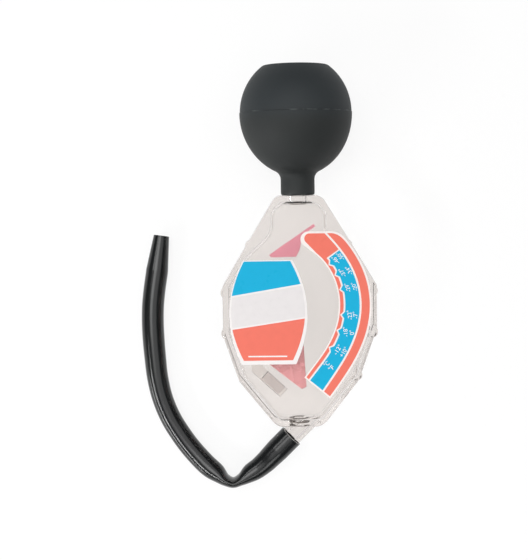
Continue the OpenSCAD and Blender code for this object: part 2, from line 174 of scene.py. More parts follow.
# Hose
HOSE_R = 4.75
HOSE_FULL_R = 5.05
HOSE_FULL_FROM = 85.0
HOSE_FULL_OVER = 30.0
HOSE_BORE_R = 3.0
CUFF_R = 5.45
CUFF_LEN = 13.0
CUFF_STRAIGHT = 9.0
CUFF_TAPER = 12.0
BORE_TAPER = 2.0
TIP_LEN = 18.0
TIP_R = 3.55
TIP_BORE_R = 2.4
TIP_STRAIGHT = 2.0
TIP_DEG = 82.0
PINCH = 2.3
PINCH_LEN = 8.5
CREASE = 2.6
CREASE_LEN = 6.8
CREASE_POWER = 1.5
FOLD_SPREAD = math.pi / 2 - 1

# Films on the front window
FILM_T = 0.2
INK_LIFT = 0.02
INK_T = 0.03
NAME_H = 46.2
NAME_TOP = 24.0
NAME_X = 13.9
NAME_TOP_W = 21.8
NAME_BOTTOM_W = 24.0
NAME_W = 34.3

# Gaps between coincident faces of clear pieces, so that light meets one face at a time
SEAM_GAP = 0.04
FILM_GAP = 0.03
FIT_GAP = 0.02

# How far joined solids run into each other and bores run past an end, and a height above the whole body
OVERLAP = 1.0
CUT_REACH = 40.0

# The tester's frame in the row: the float's joint gives the tilt and the place of the pivot
float_joint = next(joint for joint in frame["joints"] if joint["name"] == "float_swing")
TILT = math.atan2(-float_joint["axis"][1], float_joint["axis"][2])


def turned(points, angle=TILT):
    """Turn points about X: y' = y cos - z sin, z' = y sin + z cos."""
    x, y, z = np.moveaxis(np.asarray(points, float), -1, 0)
    cos, sin = math.cos(angle), math.sin(angle)
    return np.stack([x, y * cos - z * sin, y * sin + z * cos], -1)


ORIGIN_M = np.array(float_joint["pos_m"]) - turned([*PIVOT, 0]) / 1000


def laid(points):
    """Tester millimetres to row metres: turned by the tilt, then moved so that the pivot meets its joint."""
    return turned(points) / 1000 + ORIGIN_M


def unlaid(points_m):
    """Row metres back to tester millimetres: moved to the tester's origin, then turned back."""
    return turned((np.asarray(points_m) - ORIGIN_M) * 1000, -TILT)


def toward(deg):
    """Unit direction in the printed face's plane."""
    return np.array([math.cos(math.radians(deg)), math.sin(math.radians(deg))])


def unit(vectors):
    """Vectors made one long."""
    return vectors / np.linalg.norm(vectors, axis=1, keepdims=True)


def run_along(path):
    """Distance along a path to each of its points."""
    return np.concatenate([[0], np.cumsum(np.linalg.norm(np.diff(path, axis=0), axis=1))])


def raised(points, z):
    """Points of the printed face's plane at a height."""
    return np.column_stack([points, np.full(len(points), z)])


# Meshes from grids
DOUBLES_M = 1e-7


def keep_mesh(name, vertices_m, faces):
    """Mesh object at the origin, its doubles merged and its faces turned outwards."""
    mesh = bpy.data.meshes.new(name)
    mesh.from_pydata(np.asarray(vertices_m).tolist(), [], faces)
    made = bmesh.new()
    made.from_mesh(mesh)
    bmesh.ops.remove_doubles(made, verts=made.verts, dist=DOUBLES_M)
    bmesh.ops.recalc_face_normals(made, faces=made.faces)
    made.to_mesh(mesh)
    made.free()
    piece = bpy.data.objects.new(name, mesh)
    bpy.context.scene.collection.objects.link(piece)
    return piece


def grid_solid(name, grid_m, ring=False):
    """Closed skin over a grid of points: columns close on themselves, and the rows do too (ring) or their
    ends are closed by fans to the middles of the end rows."""
    rows, columns = grid_m.shape[:2]
    index = np.arange(rows * columns).reshape(rows, columns)
    beside = np.roll(index, -1, axis=1)
    after = np.roll(index, -1, axis=0)
    after_beside = np.roll(after, -1, axis=1)
    spans = slice(None) if ring else slice(0, rows - 1)
    quads = np.stack([index[spans], beside[spans], after_beside[spans], after[spans]], -1).reshape(-1, 4)
    faces = quads.tolist()
    vertices = grid_m.reshape(-1, 3)
    if not ring:
        middles = np.stack([grid_m[0].mean(0), grid_m[-1].mean(0)])
        count = rows * columns
        first = np.stack([index[0], beside[0], np.full(columns, count)], -1)
        last = np.stack([beside[-1], index[-1], np.full(columns, count + 1)], -1)
        vertices = np.concatenate([vertices, middles])
        faces = faces + first.tolist() + last.tolist()
    return keep_mesh(name, vertices, faces)


def carve(base, tool, operation):
    """Change base by the tool's solid, which is used up."""
    change = base.modifiers.new("change", "BOOLEAN")
    change.operation = operation
    change.object = tool
    change.solver = "MANIFOLD"
    graph = bpy.context.evaluated_depsgraph_get()
    result = bpy.data.meshes.new_from_object(base.evaluated_get(graph))
    base.modifiers.clear()
    base.data = result
    bpy.data.objects.remove(tool)
    return base


def smooth(piece, sharp_deg=35.0):
    """Smooth shading with edges kept sharp past an angle."""
    piece.data.shade_smooth()
    piece.data.set_sharp_from_angle(angle=math.radians(sharp_deg))
    return piece


def vertex_places(mesh):
    """The mesh's vertices as an array, in its own units."""
    places = np.empty(len(mesh.vertices) * 3)
    mesh.vertices.foreach_get("co", places)
    return places.reshape(-1, 3)


def add_uv(piece, name, u, v):
    """UV map from one u and one v for each vertex."""
    corner = np.empty(len(piece.data.loops), np.int64)
    piece.data.loops.foreach_get("vertex_index", corner)
    layer = piece.data.uv_layers.new(name=name)
    layer.data.foreach_set("uv", np.column_stack([u, v])[corner].ravel())


# Outlines


def corner_ways(corners):
    """For each corner: its place, the unit ways back and on along its sides, half its angle, and the way of
    its bisector."""
    at = corners[:, :2]
    back = unit(np.roll(at, 1, axis=0) - at)
    on = unit(np.roll(at, -1, axis=0) - at)
    half = np.arccos(np.clip((back * on).sum(1), -1, 1)) / 2
    return at, back, on, half, unit(back + on)


def inset(corners, distance):
    """Corners (x, y, radius) of the same outline drawn further in: each moves along the bisector of its
    sides by distance over the sine of half its angle, the other way at a hollow corner."""
    at, back, on, half, way = corner_ways(corners)
    after = np.roll(at, -1, axis=0)
    area = (at[:, 0] * after[:, 1] - at[:, 1] * after[:, 0]).sum()
    inward = np.sign((back[:, 1] * on[:, 0] - back[:, 0] * on[:, 1]) * area)
    moved = at + way * (inward * distance / np.sin(half))[:, None]
    return np.column_stack([moved, np.maximum(corners[:, 2] - inward * distance, LEAST_R)])


def rounded(corners, steps=10):
    """Outline whose corners are arcs tangent to both sides, as (corners * (steps + 1), 2) points."""
    at, back, on, half, way = corner_ways(corners)
    radius = corners[:, 2]
    centre = at + way * (radius / np.sin(half))[:, None]
    start = at + back * (radius / np.tan(half))[:, None] - centre
    end = at + on * (radius / np.tan(half))[:, None] - centre
    first = np.arctan2(start[:, 1], start[:, 0])
    turn = np.arctan2(end[:, 1], end[:, 0]) - first
    turn = (turn + math.pi) % (2 * math.pi) - math.pi
    angle = first[:, None] + turn[:, None] * np.linspace(0, 1, steps + 1)
    arcs = centre[:, None] + radius[:, None, None] * np.stack([np.cos(angle), np.sin(angle)], -1)
    return arcs.reshape(-1, 2)


def both_sides(right):
    """Corners of the right-hand side, then their mirror images from the bottom up."""
    right = np.asarray(right, float)
    return np.concatenate([right, right[::-1] * [-1, 1, 1]])


def stacked(corners, section):
    """Outline carried up a section of (inset, height) pairs, as a grid in tester millimetres."""
    return np.stack([raised(rounded(inset(corners, distance)), z) for distance, z in section])


def edge_round(radius, height, steps=6):
    """Section of a rounded top edge: inset r (1 - cos a) at height - r + r sin a."""
    a = np.linspace(0, math.pi / 2, steps + 1)
    return np.column_stack([radius * (1 - np.cos(a)), height - radius + radius * np.sin(a)])


def bent(start, meet, end, steps=10):
    """Curve from start to end, tangent at both to the lines through meet:
    (1 - s)^2 start + 2s (1 - s) meet + s^2 end."""
    s = np.linspace(0, 1, steps + 1)[:, None]
    return (1 - s) ** 2 * np.asarray(start) + 2 * s * (1 - s) * np.asarray(meet) + s ** 2 * np.asarray(end)


def arc(centre, radius, start_deg, end_deg, steps=16):
    """Arc between two angles: centre + r (cos a, sin a)."""
    a = np.radians(np.linspace(start_deg, end_deg, steps + 1))
    return np.asarray(centre) + radius * np.column_stack([np.cos(a), np.sin(a)])


def revolved(profile, base, direction, turns=64):
    """Profile of (radius, distance) pairs carried round an axis, as a grid in tester millimetres."""
    direction = np.asarray(direction, float)
    helper = np.array([0, 0, 1.0]) if abs(direction[2]) < 0.9 else np.array([1.0, 0, 0])
    side = np.cross(direction, helper)
    side /= np.linalg.norm(side)
    other = np.cross(direction, side)
    angle = np.linspace(0, 2 * math.pi, turns, endpoint=False)
    round_way = np.cos(angle)[:, None] * side + np.sin(angle)[:, None] * other
    profile = np.asarray(profile, float)
    return np.asarray(base) + profile[:, 1, None, None] * direction + profile[:, 0, None, None] * round_way


# Materials


def linear(code):
    """sRGB hex to linear RGBA: c / 12.92 up to 0.04045, else ((c + 0.055) / 1.055) ** 2.4."""
    channels = [int(code[i:i + 2], 16) / 255 for i in (1, 3, 5)]
    return [c / 12.92 if c <= 0.04045 else ((c + 0.055) / 1.055) ** 2.4 for c in channels] + [1.0]


def add_node(tree, kind, settings=None, inputs=None):
    """One shader node: settings are its attributes, and an input is a constant or a socket to link from."""
    made = tree.nodes.new(kind)
    for name, value in (settings or {}).items():
        setattr(made, name, value)
    for name, value in (inputs or {}).items():
        if isinstance(value, bpy.types.NodeSocket):
            tree.links.new(value, made.inputs[name])
        else:
            made.inputs[name].default_value = value
    return made


def new_material(name):
    """Material with an empty node tree and its output's surface socket."""
    material = bpy.data.materials.new(name)
    material.use_nodes = True
    tree = material.node_tree
    tree.nodes.clear()
    output = add_node(tree, "ShaderNodeOutputMaterial")
    return material, tree, output.inputs["Surface"]


def noise(tree, lump_mm, detail):
    """Noise from 0 to 1 in the piece's own frame, with lumps about so many millimetres across."""
    place = add_node(tree, "ShaderNodeTexCoord")
    made = add_node(tree, "ShaderNodeTexNoise", inputs={
        "Vector": place.outputs["Object"], "Scale": 1000 / lump_mm, "Detail": detail})
    return made.outputs["Fac"]


def ranged(tree, value, to, start=(0.0, 1.0), kind="LINEAR"):
    """Value carried from its start range to another, and held at the ends."""
    made = add_node(tree, "ShaderNodeMapRange", {"interpolation_type": kind}, {
        "Value": value, "From Min": start[0], "From Max": start[1], "To Min": to[0], "To Max": to[1]})
    return made.outputs["Result"]


def blended(tree, share, first, second):
    """Colour between two, by a share."""
    made = add_node(tree, "ShaderNodeMix", {"data_type": "RGBA"}, {0: share, 6: first, 7: second})
    return made.outputs[2]


def worked(tree, operation, first, second=0.0):
    """Result of an operation on one value or two."""
    return add_node(tree, "ShaderNodeMath", {"operation": operation}, {0: first, 1: second}).outputs[0]


def bumped(tree, height, strength, depth_m):
    """Normal that follows a height."""
    made = add_node(tree, "ShaderNodeBump", inputs={
        "Height": height, "Strength": strength, "Distance": depth_m})
    return made.outputs["Normal"]


def skin(tree, inputs):
    """Principled shader with these inputs."""
    return add_node(tree, "ShaderNodeBsdfPrincipled", inputs=inputs).outputs["BSDF"]


def either(tree, share, first, second):
    """Shader between two, by a share."""
    made = add_node(tree, "ShaderNodeMixShader", inputs={0: share, 1: first, 2: second})
    return made.outputs["Shader"]


def clear_polystyrene():
    """Injection-moulded clear polystyrene: bright skin, faint warm grey body colour, slow flow ripples and a
    slight haze. Lamps reach what is inside it, so for shadow rays it is plainly see-through."""
    material, tree, surface = new_material("clear_polystyrene")
    flow = noise(tree, lump_mm=9, detail=2)
    plastic = skin(tree, {
        "Base Color": linear("#efecea"), "IOR": 1.2, "Transmission Weight": 1.0,
        "Roughness": ranged(tree, flow, to=(0.06, 0.14)),
        "Normal": bumped(tree, flow, strength=0.01, depth_m=0.0004)})
    open_way = add_node(tree, "ShaderNodeBsdfTransparent", inputs={"Color": linear("#fdfcfb")})
    rays = add_node(tree, "ShaderNodeLightPath").outputs
    tree.links.new(either(tree, rays["Is Shadow Ray"], plastic, open_way.outputs["BSDF"]), surface)
    return material


def moulded_rubber():
    """Moulded black rubber: dull grey-black skin with a fine grain from the mould, a little bloom, and a
    broken pale line of flash where the halves of the mould met."""
    material, tree, surface = new_material("moulded_rubber")
    rise = add_node(tree, "ShaderNodeUVMap", {"uv_map": "bulb"})
    height = add_node(tree, "ShaderNodeSeparateXYZ", inputs={0: rise.outputs["UV"]}).outputs["Y"]
    grain = noise(tree, lump_mm=0.7, detail=3)
    bloom = noise(tree, lump_mm=14, detail=4)
    broken = noise(tree, lump_mm=5, detail=2)
    # Painted light: the crown half gets a lighter, cooler tone than the neck half, for the light that falls
    # on it; the bloom varies both at random
    upper = blended(tree, bloom, linear("#272c2f"), linear("#2f3436"))
    lower = blended(tree, bloom, linear("#212424"), linear("#2a2d2d"))
    half = ranged(tree, height, to=(0.0, 1.0), start=(BULB_Y - 6, BULB_Y + 4), kind="SMOOTHSTEP")
    off_seam = worked(tree, "ABSOLUTE", worked(tree, "SUBTRACT", height, BULB_Y + SEAM_UP))
    line = ranged(tree, off_seam, to=(1.0, 0.0), start=(0.1, 0.4))
    patch = ranged(tree, broken, to=(0.0, 0.5), start=(0.5, 0.62))
    flash = worked(tree, "MULTIPLY", line, patch)
    rubber = skin(tree, {
        "Base Color": blended(tree, flash, blended(tree, half, lower, upper), linear("#5c6262")),
        "IOR": 1.52, "Specular IOR Level": 0.3, "Roughness": ranged(tree, bloom, to=(0.56, 0.7)),
        "Normal": bumped(tree, grain, strength=0.2, depth_m=0.0001)})
    tree.links.new(rubber, surface)
    return material


def hose_rubber():
    """Extruded black rubber hose: smooth shiny skin with faint lines along its length."""
    material, tree, surface = new_material("extruded_hose_rubber")
    place = add_node(tree, "ShaderNodeUVMap", {"uv_map": "hose"})
    spread = add_node(tree, "ShaderNodeMapping", inputs={
        "Vector": place.outputs["UV"], "Scale": (2.0, 60.0, 1.0)})
    lines = add_node(tree, "ShaderNodeTexNoise", inputs={
        "Vector": spread.outputs["Vector"], "Scale": 1.0, "Detail": 2.0}).outputs["Fac"]
    rubber = skin(tree, {
        "Base Color": linear("#111314"), "IOR": 1.52, "Roughness": ranged(tree, lines, to=(0.16, 0.26)),
        "Normal": bumped(tree, lines, strength=0.06, depth_m=0.0001)})
    tree.links.new(rubber, surface)
    return material


def painted_port_shade():
    """Painted shade for the port rings: dull grey-brown with a fine mottle, standing in for the dark port
    openings seen through the clear plastic.
    """
    material, tree, surface = new_material("painted_port_shade")
    tone = blended(tree, noise(tree, lump_mm=1.5, detail=2), linear("#4a4542"), linear("#8a827c"))
    tree.links.new(skin(tree, {"Base Color": tone, "IOR": 1.52, "Roughness": 0.6}), surface)
    return material


def printed_film(name, code, shine=0.3, uneven=0.08):
    """Printed vinyl film: even ink under a satin coat, with a slight mottle."""
    material, tree, surface = new_material(name)
    mottle = noise(tree, lump_mm=3, detail=3)
    ink = add_node(tree, "ShaderNodeHueSaturation", inputs={
        "Color": linear(code), "Value": ranged(tree, mottle, to=(0.96, 1.04))})
    film = skin(tree, {
        "Base Color": ink.outputs["Color"], "IOR": 1.5, "Specular IOR Level": 0.1,
        "Roughness": ranged(tree, mottle, to=(shine - uneven, shine + uneven))})
    tree.links.new(film, surface)
    return material


def tinted_plastic(name, code, through):
    """Moulded translucent plastic: tinted body, satin skin and slow flow marks."""
    material, tree, surface = new_material(name)
    flow = noise(tree, lump_mm=6, detail=2)
    plastic = skin(tree, {
        "Base Color": linear(code), "IOR": 1.5, "Transmission Weight": through,
        "Roughness": ranged(tree, flow, to=(0.2, 0.35))})
    tree.links.new(plastic, surface)
    return material


def bare_steel(name, code, rough, uneven=0.1):
    """Bare steel: grey metal with a polish that is finely uneven."""
    material, tree, surface = new_material(name)
    polish = noise(tree, lump_mm=0.8, detail=3)
    metal = skin(tree, {
        "Base Color": linear(code), "Metallic": 1.0,
        "Roughness": ranged(tree, polish, to=(rough - uneven, rough + uneven))})
    tree.links.new(metal, surface)
    return material


def white_table(white_share=0.86):
    """White table: camera, mirror and see-through rays meet plain white with part of the table's own
    shading, which keeps the shadow; other rays meet a white matt surface."""
    material, tree, surface = new_material("white_table")
    rays = add_node(tree, "ShaderNodeLightPath").outputs
    seen = worked(tree, "MAXIMUM", rays["Is Camera Ray"], rays["Is Glossy Ray"])
    seen = worked(tree, "MAXIMUM", seen, rays["Is Transmission Ray"])
    share = worked(tree, "MULTIPLY", seen, white_share)
    matt = add_node(tree, "ShaderNodeBsdfDiffuse", inputs={"Color": linear("#ffffff")})
    white = add_node(tree, "ShaderNodeEmission", inputs={"Color": linear("#ffffff"), "Strength": 1.0})
    tree.links.new(either(tree, share, matt.outputs["BSDF"], white.outputs["Emission"]), surface)
    return material


def paint(piece, material):
    """The piece's only material."""
    piece.data.materials.clear()
    piece.data.materials.append(material)
    return piece


# Camera: straight down, as the photograph
CAMERA_X_M = -0.0156
CAMERA_UP_M = 0.0142
CAMERA_HEIGHT_M = 0.511
ROLL_DEG = -0.85
LENS = 75.0
SENSOR = 36.0

camera_data = bpy.data.cameras.new("camera")
camera_data.sensor_fit = "HORIZONTAL"
camera_data.sensor_width = SENSOR
camera_data.lens = LENS
camera = bpy.data.objects.new("camera", camera_data)
camera.location = (CAMERA_X_M, ORIGIN_M[1] + CAMERA_UP_M, CAMERA_HEIGHT_M)
camera.rotation_euler = (0, 0, math.radians(ROLL_DEG))
bpy.context.scene.collection.objects.link(camera)
bpy.context.scene.camera = camera

# Hose
NIPPLE_WAY = np.array([-math.sin(math.radians(NIPPLE_DEG)), -math.cos(math.radians(NIPPLE_DEG)), 0])
NIPPLE_ROOT = np.array([NIPPLE_X, -BODY_BOTTOM - NIPPLE_DROP, 0])
HOSE_SEAT = NIPPLE_ROOT + COLLAR_LEN * NIPPLE_WAY
ROUTE_SHIFT_M = ORIGIN_M * [1, 1, 0]
ROUTE_M = np.array([
    [-16.1, -68.8, 8.9], [-20, -72.1, 8.5], [-24, -74.7, 8], [-27.6, -76.8, 7.5], [-31, -78.15, 7.2],
    [-34.5, -77, 6.8], [-37.9, -74.6, 6.4], [-42.2, -71.2, 5.9], [-47.2, -66, 5.4], [-51.7, -60.6, 5.05],
    [-55.6, -55, 4.9], [-58.9, -49.5, 4.85], [-61.7, -43.3, 4.85], [-63.8, -36.7, 4.9], [-65.3, -29, 5],
    [-66.1, -21, 5.05], [-66.7, -13, 5.1], [-67, -5, 5.1], [-66.8, 3, 5.1], [-66, 10.5, 5.1],
    [-64.95, 17.4, 5.1]]) / 1000 + ROUTE_SHIFT_M
FOLD_POINT = 4
TIP_WAY = np.array([*toward(TIP_DEG), 0])
HOSE_ROWS = 420
HOSE_TURNS = 48
SPAN_STEPS = 24
CUFF_SHARES = np.array([0.35, 0.7, 1.0])
TIP_SHARES = np.array([0.5, 1.0])
UV_STRIDE = 4


def through(points, count):
    """Smooth curve through points: between two of them the Catmull-Rom cubic of their neighbours, then
    evened out to equal steps along its length."""
    ends = np.concatenate([[2 * points[0] - points[1]], points, [2 * points[-1] - points[-2]]])
    t = np.linspace(0, 1, SPAN_STEPS, endpoint=False)[None, :, None]
    p0, p1, p2, p3 = (ends[i:len(ends) - 3 + i, None] for i in range(4))
    curve = 0.5 * (2 * p1 + (p2 - p0) * t + (2 * p0 - 5 * p1 + 4 * p2 - p3) * t ** 2
                   + (3 * p1 - p0 - 3 * p2 + p3) * t ** 3)
    curve = np.concatenate([curve.reshape(-1, 3), points[-1:]])
    along = run_along(curve)
    even = np.linspace(0, along[-1], count)
    return np.column_stack([np.interp(even, along, curve[:, k]) for k in range(3)])


def bell(distance, width):
    """Smooth bump: exp(-(distance / width) squared)."""
    return np.exp(-(distance / width) ** 2)


def hose_piece():
    """Hose from its seat on the nipple to its open tip: rings square to the route, stretched on the nipple
    and drawn in at the tip, a little fuller in its upper half. Near the fold each ring is pinched sideways
    by a bell of the distance from it, flatter and narrower on the inner side, and grows taller by as much as
    keeps its way round."""
    seat = laid(HOSE_SEAT)
    stretch = laid(HOSE_SEAT + CUFF_SHARES[:, None] * CUFF_LEN * NIPPLE_WAY)
    tip = ROUTE_M[-1] + TIP_SHARES[:, None] * TIP_LEN / 1000 * TIP_WAY
    path = through(np.concatenate([[seat], stretch, ROUTE_M, tip]), HOSE_ROWS)
    way = unit(np.gradient(path, axis=0))
    side = unit(np.cross(way, [0, 0, 1]))
    up = np.cross(side, way)
    along = run_along(path) * 1000
    length = along[-1]
    tip_from = length - TIP_LEN
    outer_at = [0, CUFF_STRAIGHT, CUFF_STRAIGHT + CUFF_TAPER, HOSE_FULL_FROM,
                HOSE_FULL_FROM + HOSE_FULL_OVER, tip_from + TIP_STRAIGHT, length]
    outer = np.interp(along, outer_at, [CUFF_R, CUFF_R, HOSE_R, HOSE_R, HOSE_FULL_R, HOSE_FULL_R, TIP_R])
    bore = np.interp(along, [0, NIPPLE_LEN, NIPPLE_LEN + BORE_TAPER, tip_from, tip_from + BORE_TAPER],
                     [NIPPLE_R, NIPPLE_R, HOSE_BORE_R, HOSE_BORE_R, TIP_BORE_R])
    from_fold = np.linalg.norm(path - ROUTE_M[FOLD_POINT], axis=1) * 1000
    outer_pinch = PINCH * bell(from_fold, PINCH_LEN)
    inner_pinch = CREASE * bell(from_fold ** CREASE_POWER, CREASE_LEN ** CREASE_POWER)
    angle = np.linspace(0, 2 * math.pi, HOSE_TURNS, endpoint=False)
    pinch = np.where(np.cos(angle) > 0, inner_pinch[:, None], outer_pinch[:, None])

    def ring(radius):
        x = (radius[:, None] - pinch) * np.cos(angle)
        z = (radius + FOLD_SPREAD * outer_pinch)[:, None] * np.sin(angle)
        return path[:, None] + (x[..., None] * side[:, None] + z[..., None] * up[:, None]) / 1000

    grid = np.concatenate([ring(outer), ring(bore)[::-1]])
    hose = grid_solid("hose", grid, ring=True)
    return hose, path, length


def hose_uv(hose, path):
    """UV map along the hose: u counts centimetres of the nearest route point, v is the share of a turn."""
    spots = vertex_places(hose.data)
    apart = ((spots[:, None, :] - path[None, ::UV_STRIDE]) ** 2).sum(-1)
    nearest = np.argmin(apart, axis=1) * UV_STRIDE
    side = unit(np.cross(np.gradient(path, axis=0), [0, 0, 1]))
    off = spots - path[nearest]
    turn = np.arctan2(off[:, 2], (off * side[nearest]).sum(1)) / (2 * math.pi)
    add_uv(hose, "hose", run_along(path)[nearest] * 100, turn)


hose, hose_path, hose_length = hose_piece()
hose_uv(hose, hose_path)
paint(smooth(hose, sharp_deg=50), hose_rubber())
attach(hose, "root")
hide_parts("hose_cuff", "hose_run", "hose_tip")

# Squeeze bulb
FACE_ANGLE = math.acos(FACE_R / BULB_R)
CROWN_Y = BULB_Y + BULB_UPPER * math.sin(FACE_ANGLE)


def bulb_outside():
    """Outer profile from the thumb face down: a flat with a small rounded edge, part of an ellipse, the
    mould's step, half an ellipse below it, and a hollow curve into the neck."""
    edge_angle = FACE_ANGLE - FACE_EDGE / BULB_R
    low_r = BULB_R + SEAM_STEP
    seam_y = BULB_Y + SEAM_UP
    neck_r = SPIGOT_R + NECK_WALL
    join_angle = math.acos((neck_r + NECK_BLEND) / low_r)
    upper_angle = np.linspace(edge_angle, SEAM_UP / BULB_UPPER, UPPER_POINTS)
    upper = np.column_stack([BULB_R * np.cos(upper_angle), BULB_Y + BULB_UPPER * np.sin(upper_angle)])
    lower_angle = np.linspace(0.0, join_angle, LOWER_POINTS)
    lower = np.column_stack([low_r * np.cos(lower_angle), BULB_Y - BULB_DROP * np.sin(lower_angle)])
    lip = bent([FACE_R - FACE_EDGE, CROWN_Y], [FACE_R, CROWN_Y], upper[0], steps=5)[:-1]
    slope = np.array([-low_r * math.sin(join_angle), -BULB_DROP * math.cos(join_angle)])
    meet = lower[-1] + slope * NECK_BLEND / (low_r * math.sin(join_angle))
    foot = [neck_r, meet[1] - np.linalg.norm(meet - lower[-1])]
    blend = bent(lower[-1], meet, foot, steps=12)[1:]
    face = [[POLE_R, CROWN_Y], [FACE_R / 2, CROWN_Y]]
    step = [[low_r - SEAM_SOFT, seam_y - SEAM_SOFT], [low_r, seam_y - SEAM_FALL]]
    rim = [[neck_r - inward, BODY_TOP + up] for inward, up in RIM_SECTION]
    return np.concatenate([face, lip, upper, step, lower, blend, rim])


def bulb_inside():
    """Inner profile from the neck up: the spigot's radius, then both ellipses one wall further in, up to the
    underside of the thumb face."""
    bore_r = SPIGOT_R + FIT_GAP
    in_r = BULB_R - BULB_T
    ceiling_y = CROWN_Y - FACE_T
    low_angle = np.linspace(math.acos(bore_r / in_r), 0, INNER_LOW_POINTS)
    low = np.column_stack([in_r * np.cos(low_angle), BULB_Y - (BULB_DROP - BULB_T) * np.sin(low_angle)])
    end_angle = math.asin((ceiling_y - BULB_Y) / (BULB_UPPER - BULB_T))
    top_angle = np.linspace(0, end_angle, INNER_TOP_POINTS)[1:]
    top = np.column_stack([in_r * np.cos(top_angle), BULB_Y + (BULB_UPPER - BULB_T) * np.sin(top_angle)])
    ceiling = [[CEILING_R, ceiling_y], [POLE_R, ceiling_y]]
    return np.concatenate([[[bore_r, BODY_TOP + RIM_GAP]], low, top, ceiling])


def bulb_piece():
    """Bulb turned about the body's line from its two profiles, then leaned a little to the left: the shift
    grows as 3s^2 - 2s^3 of the share s of the way from the neck to the widest line."""
    grid = revolved(np.concatenate([bulb_outside(), bulb_inside()]), (0, 0, 0), (0, 1, 0), turns=128)
    share = np.clip((grid[..., 1] - LEAN_FROM_Y) / (BULB_Y - LEAN_FROM_Y), 0, 1)
    grid[..., 0] -= BULB_LEAN * (3 * share ** 2 - 2 * share ** 3)
    bulb = grid_solid("squeeze_bulb", laid(grid))
    x, y, z = unlaid(vertex_places(bulb.data)).T
    add_uv(bulb, "bulb", np.arctan2(x, z) / (2 * math.pi), y)
    return bulb


bulb = bulb_piece()
paint(smooth(bulb, sharp_deg=50), moulded_rubber())
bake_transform(bulb)
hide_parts("bulb_wall", "bulb_crown")

# Clear shells
body_corners = both_sides([
    [TOP_W / 2, BODY_TOP, TOP_R], [SHOULDER_W / 2, SHOULDER_Y, SHOULDER_R], [BODY_W / 2, SIDE_TOP, SIDE_R],
    [BODY_W / 2, -SIDE_DROP, SIDE_R], [HIP_W / 2, -HIP_DROP, HIP_R], [BOTTOM_W / 2, -BODY_BOTTOM, BOTTOM_R]])
wall_corners = inset(body_corners, WALL)
neck_share = (NECK_W / 2 - wall_corners[0, 0]) / (wall_corners[1, 0] - wall_corners[0, 0])
neck_at = wall_corners[0] + (wall_corners[1] - wall_corners[0]) * neck_share
spread_at = wall_corners[1] + (wall_corners[2] - wall_corners[1]) * SPREAD_DROP / (SHOULDER_Y - SIDE_TOP)
chamber_corners = both_sides([
    [wall_corners[0, 0], BODY_TOP - END_WALL, CHAMBER_TOP_R], [*neck_at[:2], NECK_END_R],
    [NECK_W / 2, NECK_Y, NECK_CURVE_R], [*spread_at[:2], SPREAD_R], *wall_corners[2:6]])
BOSS_END = HUB_LEN / 2 + END_PLAY
INNER_DEPTH = HALF_DEPTH - WALL
BAR_EDGE_POINTS = 5

# Rows of the right-hand corners, from the second one down
SHOULDER, SIDE_HIGH, SIDE_LOW, HIP, BOTTOM = range(1, 6)


def cylinder(name, radius, low, high, base, direction, edge=0.0, turns=64):
    """Closed round bar between two distances along an axis, its ends rounded by edge."""
    if edge:
        a = np.linspace(0, math.pi / 2, BAR_EDGE_POINTS)
        start = np.column_stack([radius - edge + edge * np.sin(a), low + edge - edge * np.cos(a)])
        profile = np.concatenate([start, (start * [1, -1] + [0, low + high])[::-1]])
    else:
        profile = np.array([[radius, low], [radius, high]])
    return grid_solid(name, laid(revolved(profile, base, direction, turns)))


def slab(name, low, high):
    """Plain block over the whole body between two heights, for cutting it in two."""
    span = 100.0
    corners = np.array([[-span, -span], [span, -span], [span, span], [-span, span]])
    return grid_solid(name, laid(np.stack([raised(corners, z) for z in (low, high)])))


def clear_body():
    """Both shells in one: the rounded outline, its lower right side a little further in than the left,
    carried through the depth with a fine groove at the seam, with lugs, bulb spigot and hose nipple,
    hollowed by the chamber and the two bores."""
    top = HALF_DEPTH - FILM_GAP
    groove = [[SEAM_GROOVE, 0.0], [0.0, SEAM_GROOVE_H]]
    half = np.concatenate([groove, edge_round(BODY_EDGE, top)])
    section = np.concatenate([(half * [1, -1])[::-1], half[1:]])
    outline = body_corners.copy()
    outline[SIDE_LOW, 1] = -RIGHT_SIDE_DROP
    outline[HIP, 0] -= RIGHT_HIP_IN
    outline[BOTTOM, 0] -= RIGHT_BOTTOM_IN
    body = grid_solid("clear_body", laid(stacked(outline, section)))
    far = inset(body_corners, LUG_R - LUG_PROUD)
    near = inset(body_corners, LUG_R - LUG_PROUD / 2)
    for at in (near[SHOULDER, :2], (far[SIDE_HIGH, 0], LUG_Y), far[SIDE_LOW, :2], near[HIP, :2]):
        for side in (-1, 1):
            middle = (side * at[0], at[1], 0)
            lug = cylinder("lug", LUG_R, -LUG_H / 2, LUG_H / 2, middle, (0, 0, 1), LUG_EDGE, turns=40)
            carve(body, lug, "UNION")
    spigot = cylinder("spigot", SPIGOT_R, -WALL, SPIGOT_LEN, (0, BODY_TOP, 0), (0, 1, 0), SPIGOT_EDGE)
    carve(body, spigot, "UNION")
    collar = cylinder("collar", COLLAR_R, -COLLAR_ROOT - COLLAR_LEN, 0, HOSE_SEAT, NIPPLE_WAY, COLLAR_EDGE)
    carve(body, collar, "UNION")
    nipple_r = NIPPLE_R - FIT_GAP
    nipple = cylinder("nipple", nipple_r, -OVERLAP, NIPPLE_LEN, HOSE_SEAT, NIPPLE_WAY, NIPPLE_EDGE)
    carve(body, nipple, "UNION")
    rise = edge_round(CHAMBER_EDGE, INNER_DEPTH + FILM_GAP)
    inside = np.concatenate([(rise * [1, -1])[::-1], rise])
    carve(body, grid_solid("chamber", laid(stacked(chamber_corners, inside))), "DIFFERENCE")
    bore = cylinder("bore", SPIGOT_BORE_R, -2 * WALL, SPIGOT_LEN + OVERLAP, (0, BODY_TOP, 0), (0, 1, 0))
    carve(body, bore, "DIFFERENCE")
    bore = cylinder("bore", NIPPLE_BORE_R, -COLLAR_LEN - COLLAR_ROOT, NIPPLE_LEN + OVERLAP,
                    HOSE_SEAT, NIPPLE_WAY)
    carve(body, bore, "DIFFERENCE")
    return body


